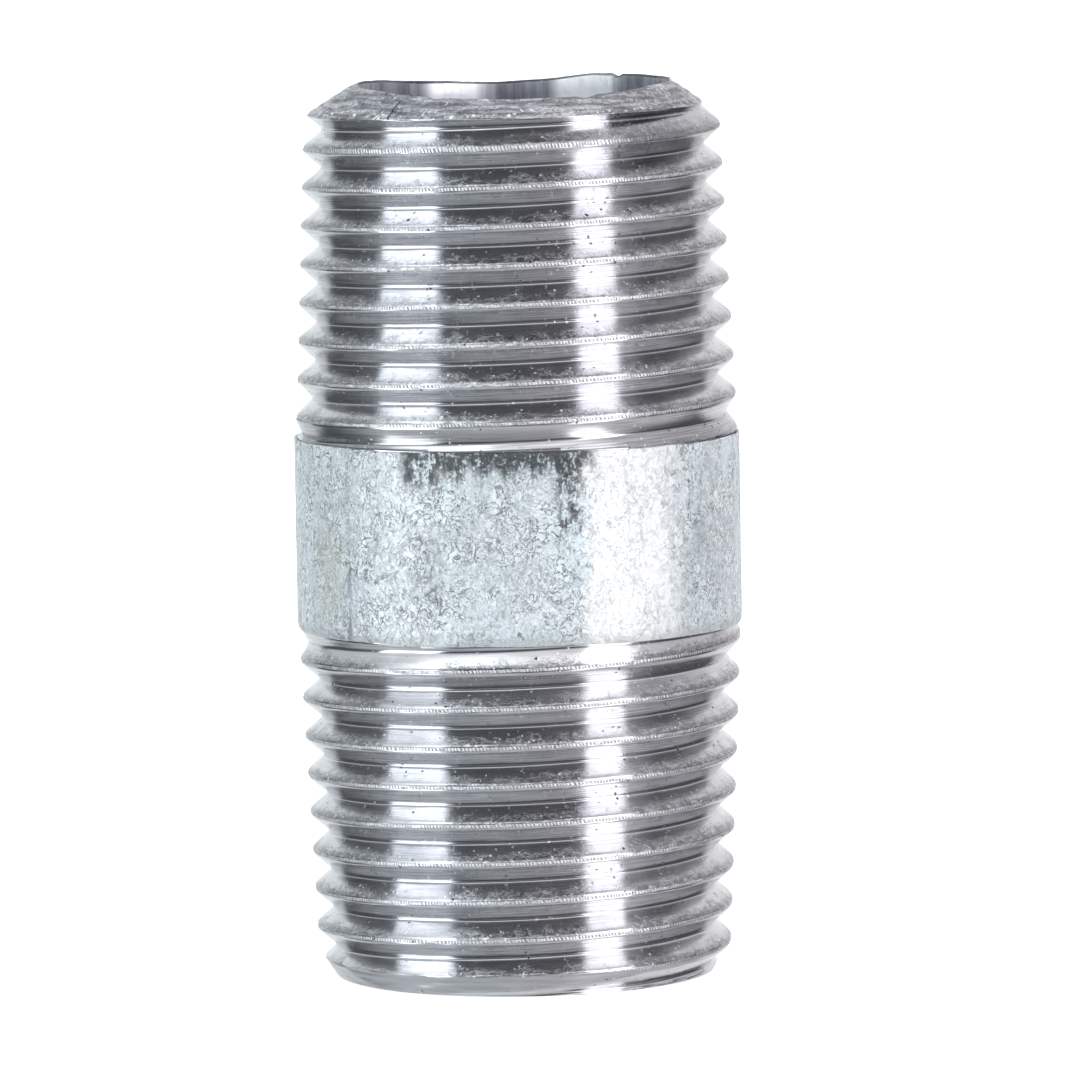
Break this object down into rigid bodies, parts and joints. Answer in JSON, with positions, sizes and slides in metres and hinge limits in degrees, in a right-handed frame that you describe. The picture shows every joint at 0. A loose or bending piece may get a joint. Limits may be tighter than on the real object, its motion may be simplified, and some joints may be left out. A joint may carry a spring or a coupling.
{
  "type": "threaded pipe nipple",
  "caption": "Short straight barrel nipple: a galvanised steel tube with an open bore, a tapered right-hand pipe thread cut from each end and a plain zinc-coated band between them.",
  "frame": {"origin": "centre of the lower end face, on the pipe's axis", "axes": "+Z along the pipe's axis, from the lower end face up to the upper end face; -Y is the front that the reference view shows, +X is its right"},
  "size_m": [0.021, 0.021, 0.0422],
  "materials": {
    "cut_steel": "bright die-cut mild steel with chatter marks on the crests and fine tool streaks along the flanks",
    "hot_dip_zinc": "pale bluish dull galvanised zinc with fine mottling, pits and scratches"
  },
  "bodies": {
    "root": {"steel_pipe_body": "cut_steel", "outer_zinc_coat": "hot_dip_zinc", "bore_zinc_lining": "hot_dip_zinc"}
  },
  "joints": []
}
